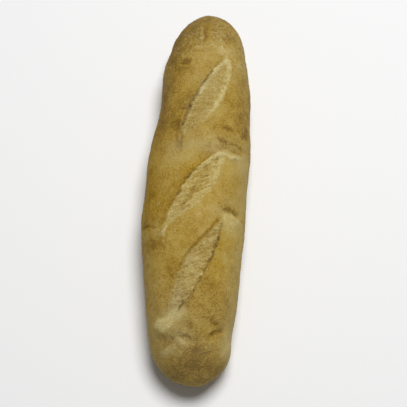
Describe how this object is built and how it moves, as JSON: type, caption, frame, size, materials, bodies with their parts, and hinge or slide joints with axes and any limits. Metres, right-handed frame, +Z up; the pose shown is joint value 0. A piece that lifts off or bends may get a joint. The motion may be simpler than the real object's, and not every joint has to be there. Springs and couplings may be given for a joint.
{
  "type": "french sub roll",
  "caption": "Long soft-crusted bread roll with rounded ends, a flat base and slanting slashes that opened across its crown, for filled sandwiches.",
  "frame": {"origin": "middle of the roll's box, on the flat base it rests on", "axes": "+Y along the roll to its far end, +X to its right, +Z up out of the crown"},
  "size_m": [0.0572, 0.216, 0.043],
  "materials": {
    "crust": "matte baked crust, golden with browner patches"
  },
  "bodies": {
    "root": {"roll": "crust"}
  },
  "joints": []
}
